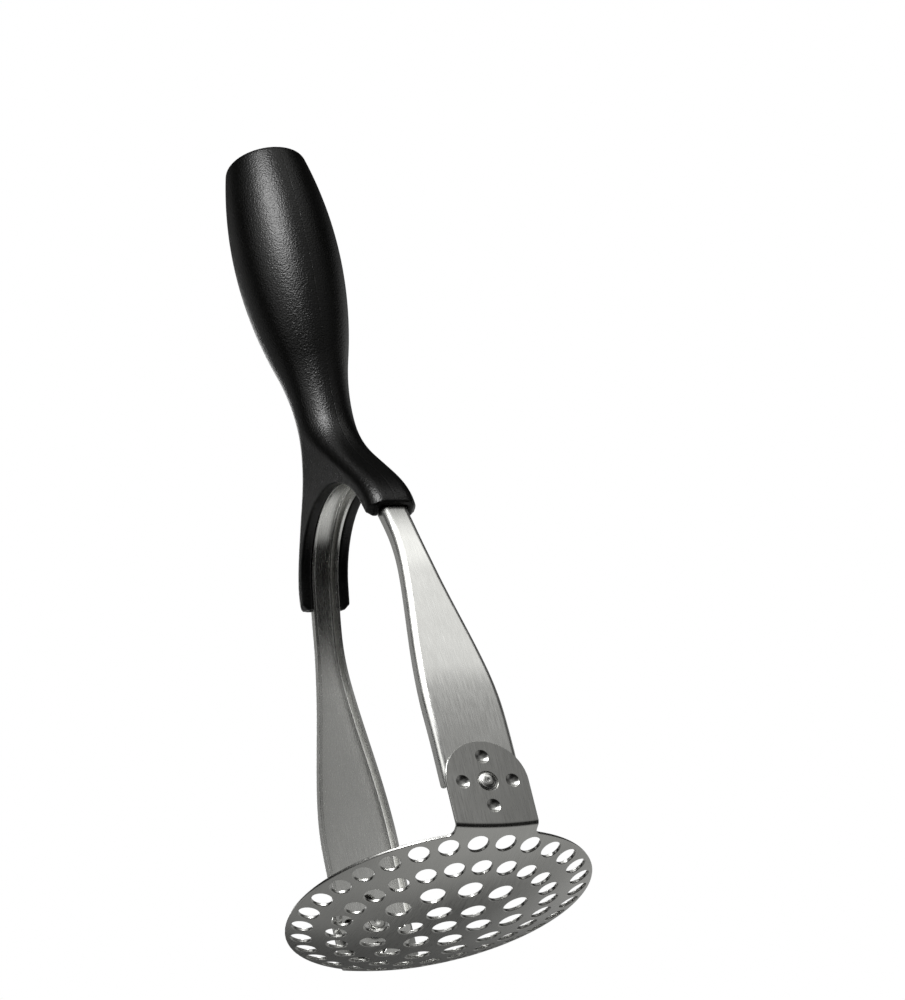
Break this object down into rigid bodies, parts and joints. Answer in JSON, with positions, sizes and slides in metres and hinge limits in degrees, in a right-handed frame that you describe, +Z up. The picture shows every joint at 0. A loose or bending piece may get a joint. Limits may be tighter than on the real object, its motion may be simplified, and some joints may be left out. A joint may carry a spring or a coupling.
{
  "type": "potato masher",
  "caption": "Hand masher with a domed perforated head that turns flat between two bowed steel legs under a forked grip.",
  "frame": {"origin": "middle of the bounding box, at the flat foot in the middle of the domed disc", "axes": "+Z up along the grip, from the disc to the end of the grip; Y along the pivot axis, with the front leg on -Y; X across the legs"},
  "size_m": [0.088, 0.0936, 0.256],
  "materials": {
    "head_steel": "brushed stainless sheet",
    "strap_steel": "brushed stainless sheet, grain along the strap",
    "rivet_steel": "turned stainless",
    "spring_steel": "plain spring steel",
    "grip_plastic": "black, fine grained, low sheen",
    "tang_steel": "plain sheared steel"
  },
  "bodies": {
    "frame": {"leg_strap": "strap_steel", "front_rivet": "rivet_steel", "rear_rivet": "rivet_steel", "front_disc_spring": "spring_steel", "rear_disc_spring": "spring_steel", "front_washer": "rivet_steel", "rear_washer": "rivet_steel", "left_grip_half": "grip_plastic", "right_grip_half": "grip_plastic", "tang": "tang_steel", "lower_tang_pin": "tang_steel", "upper_tang_pin": "tang_steel"},
    "head": {"mashing_head": "head_steel"}
  },
  "joints": [
    {"name": "head_pivot", "type": "hinge", "parent": "frame", "child": "head", "pos_m": [0, 0, 0.022], "axis": [0, 1, 0], "range_deg": [-90, 90]}
  ]
}
